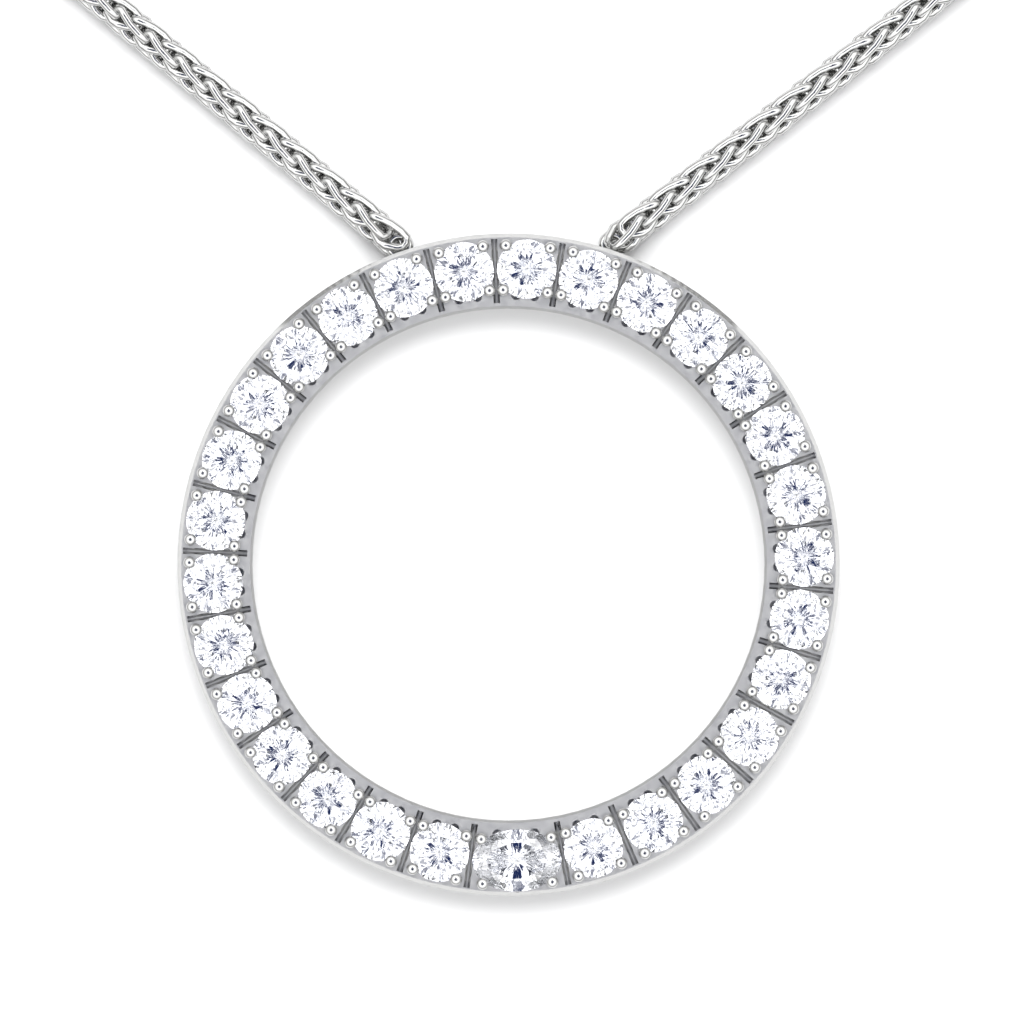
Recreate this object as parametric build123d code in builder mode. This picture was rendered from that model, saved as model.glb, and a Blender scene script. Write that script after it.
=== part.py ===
import os
from math import asin, cos, degrees, hypot, pi, radians, sin, tan

from build123d import *

# Necklace lying on a surface: an open circle of diamonds on a wheat chain.
# All lengths are in millimetres and all angles in degrees. The circle lies flat on its
# back at the -Y end, the clasp is at the +Y end, and the stones look up along +Z.

os.makedirs("parts", exist_ok=True)

# Gaps between pieces
piece_gap = 0.05
seat_gap = 0.02
rest_gap = 0.02

# Stones
stone_diameter = 2.0
oval_length = 3.0
oval_width = 2.1
stone_spacing = 0.08
girdle_thickness = 0.06
table_share = 0.57
crown_angle = 34.5
pavilion_angle = 40.75
star_share = 0.763
lower_facet_share = 0.23
culet_height = 0.02
stone_turn = 17.0
cut_sides = 16

# Circle of stones, turned a little against the chain's two ends
ring_outer_radius = 11.0
outer_rim = 0.17
inner_ledge = 0.325
pattern_turn = 1.6
wide_gaps = 4

# Band, from its flat back to the plate that the stones are set in
band_height = 1.5
side_break = 0.9
side_draft = 0.12
outer_bevel = 0.13
inner_bevel = 0.08
girdle_sink = 0.08
seat_hole_radius = 0.45
seat_slope = 45.0
crown_cut_slope = 36.9
crown_cut_share = 0.58

# Beads and the cuts in the plate
bead_radius = 0.18
bead_reach = 0.74
oval_bead_reach = 1.16
bead_stand = 0.06
bead_root = 0.3
groove_width = 0.21
groove_depth = 0.25
groove_end = 0.18
pocket_radius = 0.16
pocket_offset = 0.3
oval_pocket_offset = 0.62
pocket_depth = 0.6
pocket_reach = 0.89

# Chain and its end loops
chain_diameter = 1.2
link_wire = 0.3
loop_round = 0.135
loop_level = 0.525
loop_hole_radius = 0.18
loop_embed = 0.3
post_depth = 0.5
post_root = 0.08
left_clock = 18.2
right_clock = 17.3
left_rise = 39.5
right_rise = 37.6
first_run = 29.0
corner_share = 0.45

# Hidden part of the chain: its corners from the pendant to the clasp, in a frame with the
# pendant's centre as origin, for the right half and mirrored for the left
chain_route = [
    (47.8, 50.5),
    (62.4, 77.5),
    (66.6, 107.5),
    (59.5, 137.0),
    (41.5, 160.5),
]
last_run = 16.0
clasp_distance = 174.0

# Clasp, a plain rounded oval ring
clasp_length = 9.0
clasp_width = 4.4
clasp_wire = 0.7
clasp_corner = 1.5
gate_length = 2.6
gate_diameter = 1.0
gate_fillet = 0.2
clasp_stand_off = 0.2

# Worked out from the sizes above
stone_radius = stone_diameter / 2
chain_radius = chain_diameter / 2
stone_circle = ring_outer_radius - outer_rim - stone_radius
ring_inner_radius = stone_circle - stone_radius - inner_ledge
girdle_level = band_height - girdle_sink
clasp_loop_hole = clasp_wire / 2 + piece_gap
clasp_level = clasp_loop_hole + link_wire + rest_gap
pendant_y = -(clasp_distance + clasp_width / 2 - ring_outer_radius) / 2
clasp_y = pendant_y + clasp_distance


def chord_step(chord):
    """The turn about the circle's centre between two points a chord apart."""
    return 2 * degrees(asin(chord / 2 / stone_circle))


stone_step = chord_step(stone_diameter + stone_spacing)
oval_step = chord_step(oval_length / 2 + stone_radius + stone_spacing)
stone_count = int((360 - 2 * oval_step) / stone_step) + 1
spare_turn = 360 - 2 * oval_step - (stone_count - 1) * stone_step

# Angles are read as on a clock's face, clockwise from the top. The turn left over goes to
# the gaps to the right of the oval stone.
oval_clock = 180 - pattern_turn
stone_clocks = []
for place in range(stone_count):
    wide_before = max(0, place - (stone_count - 1 - wide_gaps))
    clock = oval_clock + oval_step + place * stone_step + wide_before * spare_turn / wide_gaps
    stone_clocks.append(clock)


def circle_plane(clock, radius, level):
    """A plane on the circle, with local X clockwise round it and local Y outwards."""
    return Plane(
        origin=(radius * sin(radians(clock)), pendant_y + radius * cos(radians(clock)), level),
        x_dir=(cos(radians(clock)), -sin(radians(clock)), 0),
        z_dir=(0, 0, 1),
    )


def brilliant_facets():
    """Azimuth, slope, inset and side of every facet of a brilliant with a radius of 1.

    A facet's inset is how far inside the girdle its plane comes to the girdle's level, and
    its side is 1 on the crown and -1 on the pavilion.
    """
    half_step = 360 / cut_sides
    crown_slope = tan(radians(crown_angle))
    pavilion_slope = tan(radians(pavilion_angle))
    star_tip_height = (1 - star_share * cos(radians(half_step))) * crown_slope
    lower_tip_depth = (1 - lower_facet_share * cos(radians(half_step))) * pavilion_slope
    table_height = (1 - table_share) * crown_slope
    table_edge = table_share * cos(radians(half_step))
    girdle_edge = cos(radians(half_step / 2))
    upper_slope = star_tip_height / (girdle_edge - star_share * cos(radians(half_step / 2)))
    lower_slope = lower_tip_depth / (girdle_edge - lower_facet_share * cos(radians(half_step / 2)))
    star_slope = (table_height - star_tip_height) / (star_share - table_edge)

    facets = []
    for place in range(cut_sides // 2):
        turn = 2 * half_step * place
        middle = turn + half_step
        facets.append((turn, crown_slope, 0, 1))
        facets.append((turn, pavilion_slope, 0, -1))
        facets.append((middle, star_slope, 1 - star_share - star_tip_height / star_slope, 1))
        for girdle_turn in (turn + half_step / 2, turn - half_step / 2):
            facets.append((girdle_turn, upper_slope, 1 - girdle_edge, 1))
            facets.append((girdle_turn, lower_slope, 1 - girdle_edge, -1))
    return facets


def facet_planes(half_length, half_width):
    """The facets' planes for a stone that keeps its slopes all the way round its outline."""
    planes = []
    for turn, slope, inset, side in brilliant_facets():
        reach = hypot(half_length * cos(radians(turn)), half_width * sin(radians(turn)))
        reach -= inset * half_width
        outward = Vector(cos(radians(turn)), sin(radians(turn)), 0)
        planes.append(Plane(
            origin=outward * reach + Vector(0, 0, side * girdle_thickness / 2),
            z_dir=outward * slope + Vector(0, 0, side),
        ))
    return planes


def stone_top(half_width):
    """Height of the table above the girdle's middle."""
    return girdle_thickness / 2 + half_width * (1 - table_share) * tan(radians(crown_angle))


def stone_bottom(half_width):
    """Depth of the culet below the girdle's middle."""
    return girdle_thickness / 2 + half_width * tan(radians(pavilion_angle)) - culet_height


def girdle_corners(half_length, half_width):
    """The sixteen corners of the girdle."""
    turns = [360 / cut_sides * place for place in range(cut_sides)]
    return [(half_length * cos(radians(turn)), half_width * sin(radians(turn))) for turn in turns]


# Round brilliant: a sixteen-sided blank with its facets ground off one by one
with BuildPart() as round_brilliant:
    with BuildSketch(Plane.XY.offset(-stone_bottom(stone_radius))):
        with BuildLine():
            Polyline(*girdle_corners(stone_radius, stone_radius), close=True)
        make_face()
    extrude(amount=stone_bottom(stone_radius) + stone_top(stone_radius))
    for plane in facet_planes(stone_radius, stone_radius):
        split(bisect_by=plane, keep=Keep.BOTTOM)

# Oval brilliant: the same cut on a longer blank, so that its pavilion ends in a short keel
with BuildPart() as oval_brilliant:
    with BuildSketch(Plane.XY.offset(-stone_bottom(oval_width / 2))):
        with BuildLine():
            Polyline(*girdle_corners(oval_length / 2, oval_width / 2), close=True)
        make_face()
    extrude(amount=stone_bottom(oval_width / 2) + stone_top(oval_width / 2))
    for plane in facet_planes(oval_length / 2, oval_width / 2):
        split(bisect_by=plane, keep=Keep.BOTTOM)

# Seat of a round stone: an open hole, a cone under the pavilion, a wall round the girdle
# and a cone over the crown that keeps the beads off the facets
seat_radius = stone_radius + seat_gap
cone_inset = seat_radius - seat_hole_radius
cone_bottom = -girdle_thickness / 2 - cone_inset * tan(radians(seat_slope))
seat_wall = girdle_thickness / 2 + seat_gap
crown_cut_radius = stone_radius * crown_cut_share
crown_inset = seat_radius - crown_cut_radius
crown_cut_top = seat_wall + crown_inset * tan(radians(crown_cut_slope))
with BuildPart() as round_seat:
    with BuildSketch(Plane.XZ):
        with BuildLine():
            Polyline(
                (0, -band_height),
                (seat_hole_radius, -band_height),
                (seat_hole_radius, cone_bottom),
                (seat_radius, -girdle_thickness / 2),
                (seat_radius, seat_wall),
                (crown_cut_radius, crown_cut_top),
                (0, crown_cut_top),
                close=True,
            )
        make_face()
    revolve(axis=Axis.Z)

# Seat of the oval stone, with the same steps and insets on an oval outline
oval_seat_length = oval_length / 2 + seat_gap
oval_seat_width = oval_width / 2 + seat_gap
with BuildPart() as oval_seat:
    with BuildSketch(Plane.XY.offset(-band_height)):
        Ellipse(oval_seat_length - cone_inset, oval_seat_width - cone_inset)
    extrude(amount=band_height + cone_bottom)
    with BuildSketch(Plane.XY.offset(cone_bottom)):
        Ellipse(oval_seat_length - cone_inset, oval_seat_width - cone_inset)
    with BuildSketch(Plane.XY.offset(-girdle_thickness / 2)):
        Ellipse(oval_seat_length, oval_seat_width)
    loft(ruled=True)
    with BuildSketch(Plane.XY.offset(-girdle_thickness / 2)):
        Ellipse(oval_seat_length, oval_seat_width)
    extrude(amount=girdle_thickness / 2 + seat_wall)
    with BuildSketch(Plane.XY.offset(seat_wall)):
        Ellipse(oval_seat_length, oval_seat_width)
    with BuildSketch(Plane.XY.offset(crown_cut_top)):
        Ellipse(oval_seat_length - crown_inset, oval_seat_width - crown_inset)
    loft(ruled=True)

# Bead: a short post with a round head, raised from the plate to hold a girdle
with BuildPart() as bead:
    with BuildSketch(Plane.XZ):
        with BuildLine():
            Line((0, -bead_root), (bead_radius, -bead_root))
            Line((bead_radius, -bead_root), (bead_radius, bead_stand))
            CenterArc((0, bead_stand), bead_radius, 0, 90)
            Line((0, bead_stand + bead_radius), (0, -bead_root))
        make_face()
    revolve(axis=Axis.Z)

# Places round the circle
stone_planes = [circle_plane(clock, stone_circle, girdle_level) for clock in stone_clocks]
oval_plane = circle_plane(oval_clock, stone_circle, girdle_level)
oval_edge_step = chord_step(oval_length + stone_spacing) / 2
groove_clocks = [oval_clock - oval_edge_step, oval_clock + oval_edge_step]
for before, after in zip(stone_clocks, stone_clocks[1:]):
    groove_clocks.append((before + after) / 2)
groove_inner = ring_inner_radius + groove_end
groove_outer = ring_outer_radius - groove_end
groove_middle = (groove_inner + groove_outer) / 2
groove_planes = [circle_plane(clock, groove_middle, band_height) for clock in groove_clocks]


def cell_spots(plane, along, across):
    """Points of one stone's cell on the plate, a reach along and across from its middle."""
    middle = plane.origin + Vector(0, 0, band_height - girdle_level)
    return [middle + plane.x_dir * x + plane.y_dir * y for x in along for y in across]


bead_spots = cell_spots(oval_plane, (-oval_bead_reach, oval_bead_reach), (-bead_reach, bead_reach))
pocket_spots = cell_spots(oval_plane, (-oval_pocket_offset, oval_pocket_offset), (-pocket_reach,))
for plane in stone_planes:
    bead_spots += cell_spots(plane, (-bead_reach, bead_reach), (-bead_reach, bead_reach))
    pocket_spots += cell_spots(plane, (-pocket_offset, pocket_offset), (-pocket_reach,))

# Where each half of the chain meets the circle
loop_outer = loop_hole_radius + link_wire


def rim_point(side, clock):
    """The point of the rim that the chain's centre line passes over."""
    return Vector(
        side * ring_outer_radius * sin(radians(clock)),
        pendant_y + ring_outer_radius * cos(radians(clock)),
        chain_radius,
    )


def chain_direction(side, rise):
    """The direction in which a half of the chain leaves the circle."""
    return Vector(side * cos(radians(rise)), sin(radians(rise)), 0)


def post_plane(side, rise, clock, level):
    """A plane at the hidden post, with local X along the chain."""
    post = rim_point(side, clock) - chain_direction(side, rise) * post_depth
    return Plane(origin=(post.X, post.Y, level), x_dir=chain_direction(side, rise), z_dir=(0, 0, 1))


halves = [("left", -1, left_rise, left_clock), ("right", 1, right_rise, right_clock)]
slot_floor = loop_level - link_wire / 2 - piece_gap
slot_height = link_wire + 2 * piece_gap
slot_half_width = loop_outer + piece_gap
slot_reach = post_depth + chain_diameter
post_radius = loop_hole_radius - piece_gap

# Setting: the band with its beads, seats and grooves, and a post in a slot for each chain end
section_plane = Plane(origin=(0, pendant_y, 0), x_dir=(1, 0, 0), z_dir=(0, -1, 0))
with BuildPart() as setting:
    with BuildSketch(section_plane):
        with BuildLine():
            Polyline(
                (ring_inner_radius + side_draft, 0),
                (ring_outer_radius - side_draft, 0),
                (ring_outer_radius, side_break),
                (ring_outer_radius, band_height - outer_bevel),
                (ring_outer_radius - outer_bevel, band_height),
                (ring_inner_radius + inner_bevel, band_height),
                (ring_inner_radius, band_height - inner_bevel),
                (ring_inner_radius, side_break),
                close=True,
            )
        make_face()
    revolve(axis=Axis((0, pendant_y, 0), (0, 0, 1)))
    with Locations(*groove_planes):
        Box(
            groove_width,
            groove_outer - groove_inner,
            groove_depth,
            align=(Align.CENTER, Align.CENTER, Align.MAX),
            mode=Mode.SUBTRACT,
        )
    with Locations(*pocket_spots):
        Cylinder(
            pocket_radius,
            pocket_depth,
            align=(Align.CENTER, Align.CENTER, Align.MAX),
            mode=Mode.SUBTRACT,
        )
    with Locations(*bead_spots):
        add(bead.part)
    with Locations(*stone_planes):
        add(round_seat.part, mode=Mode.SUBTRACT)
    with Locations(oval_plane):
        add(oval_seat.part, mode=Mode.SUBTRACT)
    for _, side, rise, clock in halves:
        with BuildSketch(post_plane(side, rise, clock, slot_floor)):
            with Locations(((slot_reach - slot_half_width) / 2, 0)):
                Rectangle(slot_reach + slot_half_width, 2 * slot_half_width)
        extrude(amount=slot_height, mode=Mode.SUBTRACT)
        with BuildSketch(post_plane(side, rise, clock, slot_floor - post_root)):
            Circle(post_radius)
        extrude(amount=slot_height + 2 * post_root)


def tube_gap(rise, clock):
    """How far past the rim the chain's end face stands, to clear the rim with its inner corner."""
    skew = radians(90 - rise - clock)
    return chain_radius * tan(skew) + piece_gap / cos(skew)


# End loop at the clasp, which stands upright round the clasp's wire
clasp_loop_outer = clasp_loop_hole + link_wire
clasp_tube_gap = clasp_wire / 2 + clasp_stand_off
clasp_loop_straight = max(clasp_tube_gap + loop_embed - clasp_loop_outer, link_wire)
with BuildPart() as clasp_loop:
    with BuildSketch():
        with Locations((clasp_loop_straight / 2, 0)):
            SlotCenterToCenter(clasp_loop_straight, 2 * clasp_loop_outer)
            SlotCenterToCenter(clasp_loop_straight, 2 * clasp_loop_hole, mode=Mode.SUBTRACT)
    extrude(amount=link_wire / 2, both=True)
    fillet(clasp_loop.edges().group_by(Axis.Z)[0] + clasp_loop.edges().group_by(Axis.Z)[-1], loop_round)

# Chain halves: a smooth tube along the real path, with both of its end loops
clasp_half_length = clasp_length / 2 - clasp_wire / 2
chain_lengths = []
for name, side, rise, clock in halves:
    end_gap = post_depth + tube_gap(rise, clock)
    post_loop_straight = end_gap + loop_embed - loop_outer
    with BuildPart() as post_loop:
        with BuildSketch(post_plane(side, rise, clock, loop_level)):
            with Locations((post_loop_straight / 2, 0)):
                SlotCenterToCenter(post_loop_straight, 2 * loop_outer)
                SlotCenterToCenter(post_loop_straight, 2 * loop_hole_radius, mode=Mode.SUBTRACT)
        extrude(amount=link_wire / 2, both=True)
        fillet(post_loop.edges().group_by(Axis.Z)[0] + post_loop.edges().group_by(Axis.Z)[-1], loop_round)

    start = rim_point(side, clock) + chain_direction(side, rise) * tube_gap(rise, clock)
    corners = [rim_point(side, clock) + chain_direction(side, rise) * first_run]
    corners += [Vector(side * x, pendant_y + y, chain_radius) for x, y in chain_route]
    finish = Vector(side * (clasp_half_length + clasp_tube_gap), clasp_y, chain_radius)
    corners.append(finish + Vector(side * last_run, 0, 0))
    points = [start] + corners + [finish]
    radii = []
    for before, corner, after in zip(points, corners, points[2:]):
        turn = (corner - before).get_angle(after - corner)
        run = min((corner - before).length, (after - corner).length)
        radii.append(corner_share * run / tan(radians(turn / 2)))
    print(f"chain_{name} runs", [round((b - a).length, 1) for a, b in zip(points, points[1:])])
    print(f"chain_{name} radii", [round(radius, 1) for radius in radii])

    clasp_loop_plane = Plane(
        origin=(side * clasp_half_length, clasp_y, clasp_level),
        x_dir=(side, 0, 0),
        z_dir=(0, -1, 0),
    )
    with BuildPart() as chain:
        with BuildLine() as route:
            FilletPolyline(*points, radius=radii)
        with BuildSketch(Plane(origin=start, z_dir=chain_direction(side, rise))):
            Circle(chain_radius)
        sweep()
        section_length = route.wire().length
        tube_volume = chain.part.volume
        add(post_loop.part)
        with Locations(clasp_loop_plane):
            add(clasp_loop.part)
    straight_volume = pi * chain_radius**2 * section_length
    print(f"chain_{name} length {section_length:.2f}, tube volume share {tube_volume / straight_volume:.5f}")
    chain_lengths.append(end_gap + section_length + clasp_tube_gap)
    chain.part.label = f"chain_{name}"
    export_step(chain.part, f"parts/chain_{name}.step")

# Clasp: one plain closed ring of round wire with a thicker gate along one side
clasp_half_width = clasp_width / 2 - clasp_wire / 2
with BuildPart() as gate:
    Cylinder(gate_diameter / 2, gate_length)
    fillet(gate.edges().filter_by(GeomType.CIRCLE), gate_fillet)

gate_plane = Plane(
    origin=(0, clasp_y - clasp_half_width, clasp_level),
    x_dir=(0, 1, 0),
    z_dir=(1, 0, 0),
)
with BuildPart() as clasp:
    with BuildLine(Plane.XY.offset(clasp_level)) as clasp_line:
        FilletPolyline(
            (clasp_half_length, clasp_y + clasp_half_width),
            (clasp_half_length, clasp_y - clasp_half_width),
            (-clasp_half_length, clasp_y - clasp_half_width),
            (-clasp_half_length, clasp_y + clasp_half_width),
            radius=clasp_corner,
            close=True,
        )
    with BuildSketch(Plane(origin=clasp_line.wire() @ 0, z_dir=clasp_line.wire() % 0)):
        Circle(clasp_wire / 2)
    sweep()
    with Locations(gate_plane):
        add(gate.part)

clasp.part.label = "clasp"
export_step(clasp.part, "parts/clasp.step")

setting.part.label = "setting"
export_step(setting.part, "parts/setting.step")

# Round stones, each turned a little further in its seat than the last
for number, plane in enumerate(stone_planes, 1):
    with BuildPart() as stone:
        with Locations(plane.rotated((0, 0, stone_turn * number))):
            add(round_brilliant.part)
    stone.part.label = f"stone_{number:02d}"
    export_step(stone.part, f"parts/stone_{number:02d}.step")

with BuildPart() as oval_stone:
    with Locations(oval_plane):
        add(oval_brilliant.part)
oval_stone.part.label = "oval_stone"
export_step(oval_stone.part, "parts/oval_stone.step")

bridge = ring_outer_radius * (sin(radians(left_clock)) + sin(radians(right_clock)))
print("round stones", stone_count, "spare turn", round(spare_turn, 2))
print("necklace length", round(sum(chain_lengths) + clasp_length + bridge, 1))
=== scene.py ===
# %% [markdown]
# A pendant necklace of white gold and diamonds, lying on a white table. The solids of the CAD model
# come in first and never move. Everything made here is in metres and sits where they sit.

# %% The CAD model and the box it fills
import math

import bmesh
import bpy
import numpy as np
from mathutils import Matrix, Vector


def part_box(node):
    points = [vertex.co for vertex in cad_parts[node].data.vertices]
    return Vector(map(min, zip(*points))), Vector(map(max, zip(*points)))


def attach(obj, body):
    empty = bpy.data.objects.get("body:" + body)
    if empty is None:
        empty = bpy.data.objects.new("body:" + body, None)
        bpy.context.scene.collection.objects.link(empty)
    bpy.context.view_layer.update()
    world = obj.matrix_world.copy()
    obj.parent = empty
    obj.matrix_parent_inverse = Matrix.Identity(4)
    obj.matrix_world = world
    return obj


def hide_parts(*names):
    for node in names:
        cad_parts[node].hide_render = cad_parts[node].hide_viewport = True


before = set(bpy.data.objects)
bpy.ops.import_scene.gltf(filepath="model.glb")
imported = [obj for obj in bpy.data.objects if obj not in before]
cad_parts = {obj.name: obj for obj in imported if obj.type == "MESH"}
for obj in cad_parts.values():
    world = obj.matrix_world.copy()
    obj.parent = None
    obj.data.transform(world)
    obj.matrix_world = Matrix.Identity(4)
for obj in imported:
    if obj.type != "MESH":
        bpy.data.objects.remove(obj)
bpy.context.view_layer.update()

millimetre = 0.001

# %% [markdown]
# Everything on the pendant is placed from the stones, because each of them already sits in its seat.
# A stone's place is the middle of its box, and the middle of the circle is the middle of the band.

# %% Places read from the CAD model
setting_low, setting_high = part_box("setting")
circle_middle = (setting_low + setting_high) / 2
round_names = sorted(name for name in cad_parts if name.startswith("stone_"))
stone_names = [*round_names, "oval_stone"]
plate_level = 1.5 * millimetre


def middle_of(name):
    low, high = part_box(name)
    return (low + high) / 2


def outward_at(place):
    """Unit vector in the plane of the circle, from its middle to a place on it."""
    away = Vector((place.x - circle_middle.x, place.y - circle_middle.y, 0))
    return away.normalized()


print(len(round_names), "round stones round", [round(value / millimetre, 2) for value in circle_middle])

# %% [markdown]
# The photograph looks straight down with a long lens, so the circle shows no perspective. The camera
# stands 30 cm above the plate, and its lens is as long as it takes for 34 mm of table to fill the
# picture. The circle sits a little below the middle of the picture, so the camera stands over a place
# a little beyond the circle's middle.

# %% Camera
picture_width = 34.0 * millimetre
picture_right = 0.116 * millimetre
picture_up = 1.744 * millimetre
camera_height = 300 * millimetre
camera_data = bpy.data.cameras.new("camera")
camera_data.sensor_width = 36
camera_data.lens = camera_data.sensor_width * camera_height / picture_width
camera_data.clip_start = 0.01
camera_data.clip_end = 10
camera = bpy.data.objects.new("camera", camera_data)
camera.location = (picture_right, circle_middle.y + picture_up, plate_level + camera_height)
scene = bpy.context.scene
scene.collection.objects.link(camera)
scene.camera = camera
print("lens", round(camera_data.lens, 1), "mm")

# %% [markdown]
# Two small helpers serve every finish. One turns the hex value of a colour, as a paint chart gives
# it, into the linear light that the renderer works in. The other adds one node with its settings and
# the links that feed it.


# %% Helpers for colour and nodes
def colour(code):
    """Linear colour of an sRGB hex value."""
    parts = [int(code[place:place + 2], 16) / 255 for place in (1, 3, 5)]
    linear = [part / 12.92 if part <= 0.04045 else ((part + 0.055) / 1.055) ** 2.4 for part in parts]
    return (*linear, 1.0)


def add_node(tree, kind, settings=None, inputs=None):
    """One node in a tree, with its own settings and with values or links on its inputs."""
    node = tree.nodes.new(kind)
    for name, value in (settings or {}).items():
        setattr(node, name, value)
    for name, value in (inputs or {}).items():
        socket = node.inputs[name]
        if isinstance(value, bpy.types.NodeSocket):
            tree.links.new(value, socket)
        else:
            socket.default_value = value
    return node


print("white in linear light", colour("#FFFFFF"))

# %% [markdown]
# Jewellery is photographed in a white tent, with the lens looking in through a hole at the top. The
# tent makes the metal and the stones white, and the dark hole draws the black dot on each bead, the
# dark line on each wire and the dark rays in the diamonds. So the surroundings are white, a little
# greyer low down, with a dark patch overhead that stays where it is whatever the camera does. Cloth
# falls in folds, and a hole in it is never a clean round. A noise added to the height breaks the
# patch's edge and leaves smaller dark patches round it. Light crosses a diamond many times before it
# comes out again, so the light paths are allowed more bounces than usual.

# %% The light tent
light_crossings = 32
scene.view_settings.view_transform = "Standard"
scene.cycles.max_bounces = light_crossings
scene.cycles.glossy_bounces = light_crossings
scene.cycles.transmission_bounces = light_crossings
world = bpy.data.worlds.new("light tent")
scene.world = world
world.use_nodes = True
tent = world.node_tree
tent.nodes.clear()
direction = add_node(tent, "ShaderNodeTexCoord")
height = add_node(tent, "ShaderNodeSeparateXYZ", inputs={0: direction.outputs["Generated"]})
overhead = add_node(
    tent,
    "ShaderNodeMapRange",
    inputs={
        "Value": height.outputs["Z"],
        "From Min": 0.80,
        "From Max": 1.0,
        "To Min": 0.0,
        "To Max": 0.45,
    },
)
folds = add_node(
    tent,
    "ShaderNodeTexNoise",
    inputs={"Vector": direction.outputs["Generated"], "Scale": 9.0, "Detail": 2.0, "Roughness": 0.6},
)
dark_share = add_node(
    tent,
    "ShaderNodeMath",
    settings={"operation": "ADD"},
    inputs={0: overhead.outputs["Result"], 1: folds.outputs["Fac"]},
)
lens_hole = add_node(
    tent,
    "ShaderNodeMapRange",
    inputs={"Value": dark_share.outputs["Value"], "From Min": 0.77, "From Max": 0.83},
)
tent_cloth = add_node(
    tent,
    "ShaderNodeMapRange",
    inputs={
        "Value": height.outputs["Z"],
        "From Min": 0.20,
        "From Max": 0.90,
        "To Min": 0.10,
        "To Max": 1.0,
    },
)
tent_colour = add_node(
    tent,
    "ShaderNodeMix",
    settings={"data_type": "RGBA"},
    inputs={"Factor": lens_hole.outputs["Result"]},
)
tent_colour.inputs[6].default_value = colour("#FFFFFF")
tent_colour.inputs[7].default_value = colour("#121C3A")
tent_shade = add_node(
    tent,
    "ShaderNodeVectorMath",
    settings={"operation": "SCALE"},
    inputs={0: tent_colour.outputs[2], "Scale": tent_cloth.outputs["Result"]},
)
tent_light = add_node(
    tent, "ShaderNodeBackground", inputs={"Color": tent_shade.outputs["Vector"], "Strength": 2.6}
)
add_node(tent, "ShaderNodeOutputWorld", inputs={"Surface": tent_light.outputs["Background"]})
print("light tent", len(tent.nodes), "nodes")

# %% [markdown]
# One large soft lamp above and beyond the pendant gives the pale shadows that fall towards the
# viewer, on the lower side of the ring and of both arms of the chain. The mirrors and the stones show
# the tent alone, so the lamp is hidden from them and only casts the shadows.

# %% Soft lamp
lamp_beyond = 0.3
lamp_height = 0.5
lamp_data = bpy.data.lights.new("soft lamp", "AREA")
lamp_data.shape = "DISK"
lamp_data.size = 0.45
lamp_data.energy = 3.5
lamp = bpy.data.objects.new("soft lamp", lamp_data)
lamp.location = (0.0, circle_middle.y + lamp_beyond, lamp_height)
lamp_aim = Vector((0, circle_middle.y, 0)) - lamp.location
lamp.rotation_euler = lamp_aim.to_track_quat("-Z", "Y").to_euler()
lamp.visible_glossy = False
lamp.visible_transmission = False
scene.collection.objects.link(lamp)
print("lamp", round(lamp_aim.length, 2), "m away")

# %% [markdown]
# The floor is a sheet of pale grey card, which the tent lights to white. It is part of the stage, not
# of the necklace. Two helpers come with it, because an operator acts on all that is selected.


# %% Floor
def deselect_all():
    for thing in bpy.context.selected_objects:
        thing.select_set(False)


def select_only(piece):
    deselect_all()
    piece.select_set(True)
    bpy.context.view_layer.objects.active = piece


card_size = 1.6
card_level = -0.02 * millimetre
deselect_all()
bpy.ops.mesh.primitive_plane_add(size=card_size, location=(0, 0, card_level))
floor = bpy.context.object
floor.name = "white_card"
card = bpy.data.materials.new("white card")
card.use_nodes = True
card_shader = card.node_tree.nodes["Principled BSDF"]
card_shader.inputs["Base Color"].default_value = colour("#D6D6D6")
card_shader.inputs["Roughness"].default_value = 0.9
card_shader.inputs["Specular IOR Level"].default_value = 0.1
floor.data.materials.append(card)
print("floor", floor.name)

# %% [markdown]
# The setting is cast in 14 carat white gold and plated with rhodium, which gives a colder and whiter
# mirror than steel. The walls are polished. The plate between the stones was cut bright with a
# graver and then handled, so its mirror is softer and it shows a grey between the white of the tent
# and the dark of the lens. The rubbing marks that vary the gloss are finer than a hair on the real
# thing. They are drawn 0.25 mm wide, so that they show.

# %% White gold
mark_width = 0.25 * millimetre


def white_gold(name, tone, gloss, haze):
    """Rhodium-plated white gold, whose roughness wanders between gloss and haze."""
    metal = bpy.data.materials.new(name)
    metal.use_nodes = True
    tree = metal.node_tree
    shader = tree.nodes["Principled BSDF"]
    place = add_node(tree, "ShaderNodeTexCoord")
    marks = add_node(
        tree,
        "ShaderNodeTexNoise",
        inputs={
            "Vector": place.outputs["Object"],
            "Scale": 1 / mark_width,
            "Detail": 4.0,
            "Roughness": 0.6,
        },
    )
    rubbed = add_node(
        tree,
        "ShaderNodeMapRange",
        inputs={
            "Value": marks.outputs["Fac"],
            "From Min": 0.3,
            "From Max": 0.7,
            "To Min": gloss,
            "To Max": haze,
        },
    )
    shader.inputs["Base Color"].default_value = colour(tone)
    shader.inputs["Metallic"].default_value = 1.0
    tree.links.new(rubbed.outputs["Result"], shader.inputs["Roughness"])
    return metal


polished_gold = white_gold("polished white gold", "#C4C4C3", 0.06, 0.12)
plate_gold = white_gold("bright-cut white gold", "#BEBEBE", 0.36, 0.48)
print("metals", polished_gold.name, plate_gold.name)

# %% [markdown]
# A diamond is clear and bends light more than most clear stones, with an index of 2.417. All that is
# seen in it is the tent, turned round by the facets of the pavilion. A faint cloud of blue in the
# clear body keeps the stones colder than the metal. Its clouds are about 0.7 mm across, so that each
# stone has a few.

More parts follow.
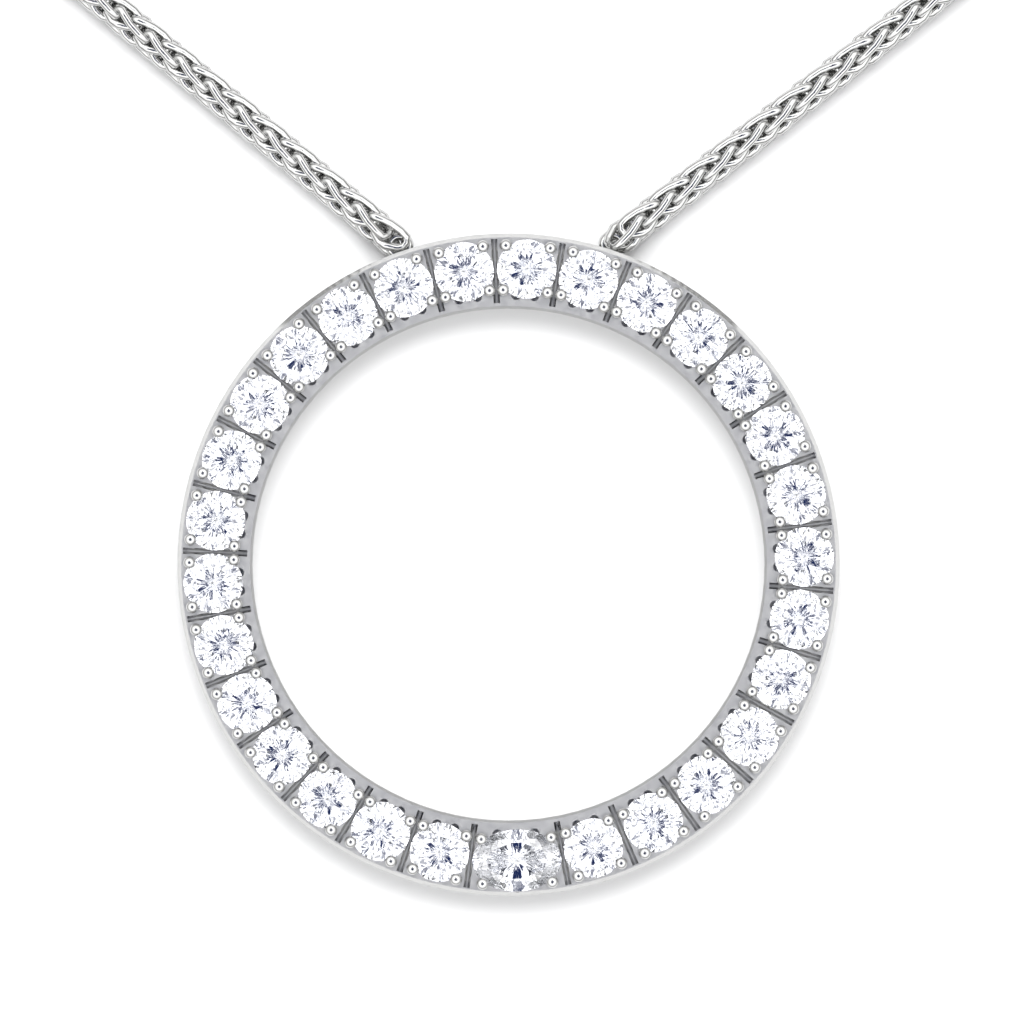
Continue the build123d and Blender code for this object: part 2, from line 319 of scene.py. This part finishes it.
# %% Diamond
cloud_scale = 1.5 / millimetre
diamond = bpy.data.materials.new("diamond")
diamond.use_nodes = True
diamond_tree = diamond.node_tree
diamond_shader = diamond_tree.nodes["Principled BSDF"]
stone_place = add_node(diamond_tree, "ShaderNodeTexCoord")
cloud = add_node(
    diamond_tree,
    "ShaderNodeTexNoise",
    inputs={"Vector": stone_place.outputs["Object"], "Scale": cloud_scale, "Detail": 3.0},
)
tint = add_node(
    diamond_tree,
    "ShaderNodeMix",
    settings={"data_type": "RGBA"},
    inputs={"Factor": cloud.outputs["Fac"]},
)
tint.inputs[6].default_value = colour("#F3F6FF")
tint.inputs[7].default_value = colour("#FFFFFF")
diamond_tree.links.new(tint.outputs[2], diamond_shader.inputs["Base Color"])
diamond_shader.inputs["Roughness"].default_value = 0.0
diamond_shader.inputs["IOR"].default_value = 2.417
diamond_shader.inputs["Transmission Weight"].default_value = 1.0
for name in stone_names:
    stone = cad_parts[name]
    stone.data.materials.clear()
    stone.data.materials.append(diamond)
    for face in stone.data.polygons:
        face.use_smooth = False
print("stones", len(stone_names))

# %% [markdown]
# The solids have the main facets only, and a cut stone has many slim ones between them, which split
# the dark of the lens into fine rays. A faint relief of rays round each stone's middle stands for
# those. The rays are a noise that is read on a circle: a place is turned into the direction in which
# it lies from the middle of the stone's own box. The circle is 3 waves of the noise in radius, so
# about 19 rays fit round a stone, 0.3 mm wide at its edge and narrower inside. The place itself is
# added at 1.1 waves to a millimetre, so that the rays wander a little and no two stones are alike.

# %% Slim facets of the diamond
ray_circle = 3.0
ray_wander = 1.1 / millimetre
ray_depth = 0.02 * millimetre
from_middle = add_node(
    diamond_tree,
    "ShaderNodeVectorMath",
    settings={"operation": "SUBTRACT"},
    inputs={0: stone_place.outputs["Generated"], 1: (0.5, 0.5, 0.5)},
)
across_stone = add_node(
    diamond_tree,
    "ShaderNodeVectorMath",
    settings={"operation": "MULTIPLY"},
    inputs={0: from_middle.outputs["Vector"], 1: (1.0, 1.0, 0.0)},
)
ray_direction = add_node(
    diamond_tree,
    "ShaderNodeVectorMath",
    settings={"operation": "NORMALIZE"},
    inputs={0: across_stone.outputs["Vector"]},
)
stone_shift = add_node(
    diamond_tree,
    "ShaderNodeVectorMath",
    settings={"operation": "SCALE"},
    inputs={0: stone_place.outputs["Object"], "Scale": ray_wander},
)
ray_place = add_node(
    diamond_tree,
    "ShaderNodeVectorMath",
    settings={"operation": "MULTIPLY_ADD"},
    inputs={
        0: ray_direction.outputs["Vector"],
        1: (ray_circle, ray_circle, ray_circle),
        2: stone_shift.outputs["Vector"],
    },
)
rays = add_node(
    diamond_tree,
    "ShaderNodeTexNoise",
    inputs={"Vector": ray_place.outputs["Vector"], "Scale": 1.0, "Detail": 0.0},
)
slim_facets = add_node(
    diamond_tree,
    "ShaderNodeBump",
    inputs={"Strength": 1.0, "Distance": ray_depth, "Height": rays.outputs["Fac"]},
)
diamond_tree.links.new(slim_facets.outputs["Normal"], diamond_shader.inputs["Normal"])
print("diamond", len(diamond_tree.nodes), "nodes")

# %% [markdown]
# The CAD band is right in shape, but its mesh is loose flat triangles, and a mirror shows each of
# them. A copy is welded and shaded smooth up to the sharp edges, and the copy stands for the CAD
# band. Its plate and the bevel inside the stones get the softer finish. They are found by how far
# their faces point up.

# %% Band
weld_distance = 0.0005 * millimetre
flat_upright = 0.999
bevel_upright = (0.6, 0.8)


def welded_copy(name, copy_name, sharp_degrees):
    """A smooth-shaded copy of a CAD node with its loose triangles merged."""
    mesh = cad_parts[name].data.copy()
    piece = bpy.data.objects.new(copy_name, mesh)
    scene.collection.objects.link(piece)
    shape = bmesh.new()
    shape.from_mesh(mesh)
    bmesh.ops.remove_doubles(shape, verts=shape.verts, dist=weld_distance)
    shape.to_mesh(mesh)
    shape.free()
    mesh.materials.clear()
    select_only(piece)
    bpy.ops.mesh.customdata_custom_splitnormals_clear()
    bpy.ops.object.shade_smooth_by_angle(angle=math.radians(sharp_degrees))
    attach(piece, "root")
    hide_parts(name)
    return piece


band = welded_copy("setting", "band", 25)
band.data.materials.append(polished_gold)
band.data.materials.append(plate_gold)
plate_faces = 0
stone_circle = (middle_of("stone_01") - circle_middle).xy.length
for face in band.data.polygons:
    upright = face.normal.z
    on_bevel = bevel_upright[0] < upright < bevel_upright[1]
    inside = (face.center - circle_middle).xy.length < stone_circle
    if upright > flat_upright or (on_bevel and inside):
        face.material_index = 1
        plate_faces += 1
print("band", len(band.data.polygons), "faces,", plate_faces, "of them on the plate")

# %% [markdown]
# A graver cuts the grooves between the stones, and leaves them with leaning walls and a narrow floor.
# The walls show as two dark lines with a light one between. The CAD grooves have upright walls, so
# the corners of each floor are moved in towards its middle. A groove lies between two stones, nearer
# to the smaller one, and its corners are found by their level and by how far they lie beside it.

# %% Grooves with leaning walls
groove_level = 1.25 * millimetre
groove_half = 0.105 * millimetre
floor_half = 0.025 * millimetre
near_enough = 0.01 * millimetre
ring_stones = []
for name in stone_names:
    low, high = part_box(name)
    outward = outward_at((low + high) / 2)
    ring_stones.append((math.atan2(outward.y, outward.x), (high.x - low.x) / 2))
ring_stones.sort()
first_turn, first_half = ring_stones[0]
groove_turns = []
for before, after in zip(ring_stones, [*ring_stones[1:], (first_turn + 2 * math.pi, first_half)]):
    share = before[1] / (before[1] + after[1])
    groove_turns.append(before[0] + (after[0] - before[0]) * share)
moved = 0
for vertex in band.data.vertices:
    if abs(vertex.co.z - groove_level) > near_enough:
        continue
    spot = vertex.co - circle_middle
    for turn in groove_turns:
        along = Vector((math.cos(turn), math.sin(turn), 0))
        beside = Vector((-along.y, along.x, 0))
        off = spot.dot(beside)
        if spot.dot(along) > 0 and abs(abs(off) - groove_half) < near_enough:
            vertex.co -= beside * math.copysign(groove_half - floor_half, off)
            moved += 1
            break
print(len(groove_turns), "grooves,", moved, "corners moved")

# %% [markdown]
# Four beads hold each stone. A bead is a burr raised from the plate and rounded with a cup-shaped
# tool, so it ends in a small bright dome, flatter than a ball. The round heads of the CAD beads are
# lowered first, so that they stay under the domes. Then one dome is modelled, as the upper half of a
# ball, and copied to every corner. Bisect merges what is nearer than its threshold, and its usual
# tenth of a millimetre would spoil so small a dome.

# %% One dome
bead_level = plate_level + 0.06 * millimetre
head_share = 0.5
for vertex in band.data.vertices:
    head = vertex.co.z - bead_level
    if head > 0:
        vertex.co.z = bead_level + head * head_share

bead_radius = 0.205 * millimetre
bead_flatness = 0.62
bisect_threshold = 1e-7
deselect_all()
bpy.ops.mesh.primitive_uv_sphere_add(segments=16, ring_count=8, radius=bead_radius)
dome = bpy.context.object
bpy.ops.object.mode_set(mode="EDIT")
bpy.ops.mesh.select_all(action="SELECT")
bpy.ops.mesh.bisect(
    plane_co=(0, 0, 0),
    plane_no=(0, 0, 1),
    clear_inner=True,
    use_fill=True,
    threshold=bisect_threshold,
)
bpy.ops.mesh.select_all(action="SELECT")
bpy.ops.transform.resize(value=(1.0, 1.0, bead_flatness))
bpy.ops.object.mode_set(mode="OBJECT")
dome_mesh = dome.data.copy()
bpy.data.objects.remove(dome)
print("dome", len(dome_mesh.polygons), "faces")

# %% [markdown]
# The beads stand at the four corners of each stone, and the oval stone's are further apart along the
# circle. All the domes together are one piece.

# %% Beads
corner_reach = 0.74 * millimetre
oval_corner_reach = 1.16 * millimetre
dome_edge_degrees = 40
bead_places = []
for name in stone_names:
    place = middle_of(name)
    outward = outward_at(place)
    along = Vector((outward.y, -outward.x, 0))
    reach = oval_corner_reach if name == "oval_stone" else corner_reach
    for side in (-1, 1):
        for end in (-1, 1):
            spot = place + along * side * reach + outward * end * corner_reach
            bead_places.append(Vector((spot.x, spot.y, bead_level)))
bead_shape = bmesh.new()
for spot in bead_places:
    one = dome_mesh.copy()
    one.transform(Matrix.Translation(spot))
    bead_shape.from_mesh(one)
    bpy.data.meshes.remove(one)
bead_mesh = bpy.data.meshes.new("beads")
bead_shape.to_mesh(bead_mesh)
bead_shape.free()
beads = bpy.data.objects.new("beads", bead_mesh)
scene.collection.objects.link(beads)
select_only(beads)
bpy.ops.object.shade_smooth_by_angle(angle=math.radians(dome_edge_degrees))
beads.data.materials.append(polished_gold)
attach(beads, "root")
print("beads", len(bead_places), "faces", len(beads.data.polygons))

# %% [markdown]
# The chain's line is a smooth NURBS curve, with the corners of the CAD route as its control points.
# One more point on the first run keeps it as straight as the photograph shows it there. The line
# starts on the rim of the band and ends at the clasp. It lies just high enough for the links to rest
# on the card. From here to the end of the chain, lengths are in millimetres.

# %% Line of the chain
pendant_y = -82.6
rim_radius = 11.0
clasp_y = 91.4
line_level = 0.67
first_run = (14.0, 29.0)
hidden_route = [(47.8, 50.5), (62.4, 77.5), (66.6, 107.5), (59.5, 137.0), (41.5, 160.5)]
last_run = (20.7, 4.7)
halves = [("left", -1, 39.5, 18.2), ("right", 1, 37.6, 17.3)]


def chain_line(name, side, rise, clock):
    """Points of one half of the chain, read from its NURBS curve, in millimetres."""
    turn, place = math.radians(rise), math.radians(clock)
    along = Vector((side * math.cos(turn), math.sin(turn), 0))
    rim_x = side * rim_radius * math.sin(place)
    rim = Vector((rim_x, pendant_y + rim_radius * math.cos(place), line_level))
    points = [rim, *(rim + along * distance for distance in first_run)]
    points += [Vector((side * x, pendant_y + y, line_level)) for x, y in hidden_route]
    points += [Vector((side * x, clasp_y, line_level)) for x in last_run]
    curve = bpy.data.curves.new(name, "CURVE")
    curve.dimensions = "3D"
    spline = curve.splines.new("NURBS")
    spline.points.add(len(points) - 1)
    for control, point in zip(spline.points, points):
        control.co = (*point, 1)
    spline.order_u = 3
    spline.use_endpoint_u = True
    spline.resolution_u = 24
    holder = bpy.data.objects.new(name, curve)
    scene.collection.objects.link(holder)
    line = bpy.data.meshes.new_from_object(holder)
    found = np.array([vertex.co[:] for vertex in line.vertices])
    bpy.data.objects.remove(holder)
    bpy.data.meshes.remove(line)
    length = np.linalg.norm(np.diff(found, axis=0), axis=1).sum()
    print(name, len(found), "points,", round(float(length), 1), "mm")
    return found


lines = {name: chain_line(f"line_{name}", side, rise, clock) for name, side, rise, clock in halves}

# %% [markdown]
# A wheat chain is made of oval links that are twisted once and folded in two, in two rows that are
# woven into each other. A link passes through the next link of its own row and through both
# neighbours of the other row, whose links are mirrored and turned a quarter. The ends of the links
# lean towards each other like the grains in an ear of wheat. One half of a link is written down as
# the bends of its wire: how far towards the pendant, across, and out from the chain's middle. The
# other half is the same wire turned half way round. Past the edge of the photograph the same link is
# drawn with every second bend, because there are about 680 links in all.

# %% Folded links
wire_radius = 0.148
link_pitch = 1.28
link_length = 1.6
link_bends = [
    (0.07, 0.00, 0.00),
    (0.01, -0.11, 0.17),
    (0.06, -0.27, 0.32),
    (0.24, -0.33, 0.40),
    (0.48, -0.24, 0.45),
    (0.76, -0.16, 0.49),
    (1.17, -0.09, 0.49),
    (1.45, -0.04, 0.44),
    (1.57, -0.09, 0.27),
    (1.56, -0.22, 0.12),
    (1.44, -0.28, -0.01),
    (1.09, -0.40, -0.15),
    (0.85, -0.33, -0.23),
    (0.55, -0.26, -0.15),
    (0.43, -0.11, -0.10),
    (0.41, 0.00, 0.00),
]
plain_bends = [*link_bends[::2], link_bends[-1]]


def link_mesh(name, hand, bends):
    """A closed link of round wire, bent for one hand or the other."""
    first_half = [(up, hand * across, out) for up, across, out in bends]
    second_half = [(up, -across, -out) for up, across, out in first_half[-2:0:-1]]
    points = first_half + second_half
    curve = bpy.data.curves.new(name, "CURVE")
    curve.dimensions = "3D"
    curve.bevel_depth = wire_radius
    curve.bevel_resolution = 1
    spline = curve.splines.new("POLY")
    spline.points.add(len(points) - 1)
    for control, point in zip(spline.points, points):
        control.co = (*point, 1)
    spline.use_cyclic_u = True
    holder = bpy.data.objects.new(name, curve)
    scene.collection.objects.link(holder)
    mesh = bpy.data.meshes.new_from_object(holder)
    bpy.data.objects.remove(holder)
    print(name, len(points), "bends,", len(mesh.polygons), "faces")
    return mesh


fine_pair = (link_mesh("link_right", 1, link_bends), link_mesh("link_left", -1, link_bends))
plain_pair = (link_mesh("plain_right", 1, plain_bends), link_mesh("plain_left", -1, plain_bends))

# %% [markdown]
# Each half of the chain ends in a plain oval ring. At the pendant it lies flat round the hidden post
# in the band, and at the clasp it stands upright round the clasp's wire. A torus is pulled apart at
# its middle to make it.

# %% End rings
ring_wire_radius = 0.15


def end_ring(bend_radius, straight):
    """A ring of round wire, longer along x than across, with its first bend round the origin."""
    deselect_all()
    bpy.ops.mesh.primitive_torus_add(
        major_radius=bend_radius,
        minor_radius=ring_wire_radius,
        major_segments=24,
        minor_segments=10,
    )
    ring = bpy.context.object
    for vertex in ring.data.vertices:
        vertex.select = vertex.co.x > 1e-4
    bpy.ops.object.mode_set(mode="EDIT")
    bpy.ops.mesh.select_mode(type="VERT")
    bpy.ops.transform.translate(value=(straight, 0, 0))
    bpy.ops.object.mode_set(mode="OBJECT")
    mesh = ring.data.copy()
    bpy.data.objects.remove(ring)
    return mesh


post_ring = end_ring(0.33, 0.76)
clasp_ring = end_ring(0.55, 0.30)
print("rings", len(post_ring.polygons), "faces each")

# %% [markdown]
# The links follow the line. Each one is set at its place, points along the chord of the stretch that
# it covers, and every second one is the mirrored link turned a quarter. A real chain is never laid
# without a little twist, so each half is rolled a little and the roll drifts along it. The links run
# a little past the end of the line, so that the last one holds the clasp's ring.


# %% The two halves of the chain
first_place = link_length + 0.1
end_room = 0.5
links_past_end = 2
fine_reach = 20.0
drift_length = 9.0
post_behind_rim = 0.5
post_level = 0.525
clasp_wire_x = 4.15
clasp_wire_level = 0.72


def chain_half(name, side, roll, drift):
    """All the links of one half of the chain and its two end rings, as one piece."""
    line = lines[name]
    steps = np.linalg.norm(np.diff(line, axis=0), axis=1)
    reach = np.concatenate([[0], np.cumsum(steps)])
    corners, faces = [], []

    def point_at(distance):
        return Vector([float(np.interp(distance, reach, line[:, axis])) for axis in range(3)])

    def put(mesh, start, rows):
        spots = np.array([vertex.co[:] for vertex in mesh.vertices])
        base = sum(len(part) for part in corners)
        corners.append(spots @ rows + np.array(start[:]))
        faces.extend(tuple(corner + base for corner in face.vertices) for face in mesh.polygons)

    room = reach[-1] - first_place - end_room
    count = int(room / (link_pitch / 2)) + links_past_end
    up = Vector((0, 0, 1))
    for number in range(count):
        distance = first_place + number * link_pitch / 2
        start = point_at(distance)
        ahead = (point_at(distance - link_length) - start).normalized()
        lateral = up.cross(ahead).normalized()
        pair = fine_pair if distance < fine_reach else plain_pair
        mesh, quarter = pair[number % 2], (45, -45)[number % 2]
        turn = math.radians(quarter + roll + drift * math.sin(distance / drift_length))
        across = lateral * math.cos(turn) - up * math.sin(turn)
        out = lateral * math.sin(turn) + up * math.cos(turn)
        put(mesh, start, np.array([ahead[:], across[:], out[:]]))
    ahead = (point_at(1.0) - point_at(0.0)).normalized()
    post = point_at(0.0) - ahead * post_behind_rim
    post.z = post_level
    put(post_ring, post, np.array([ahead[:], up.cross(ahead)[:], up[:]]))
    clasp_wire = Vector((side * clasp_wire_x, clasp_y, clasp_wire_level))
    put(clasp_ring, clasp_wire, np.array([[side, 0, 0], [0, 0, side], [0, -1, 0]]))

    mesh = bpy.data.meshes.new(f"wheat_chain_{name}")
    mesh.from_pydata((np.concatenate(corners) * millimetre).tolist(), [], faces)
    mesh.update()
    piece = bpy.data.objects.new(f"wheat_chain_{name}", mesh)
    scene.collection.objects.link(piece)
    select_only(piece)
    bpy.ops.object.shade_smooth()
    mesh.materials.append(polished_gold)
    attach(piece, "root")
    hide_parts(f"chain_{name}")
    print(name, count, "links,", len(mesh.polygons), "faces")


chain_half("left", -1, 20.0, 4.0)
chain_half("right", 1, -20.0, 4.0)

# %% [markdown]
# The clasp is out of the photograph, so it is a plain oval ring.

# %% Clasp
clasp = welded_copy("clasp", "clasp_ring", 40)
clasp.data.materials.append(polished_gold)
print("clasp", len(clasp.data.polygons), "faces")
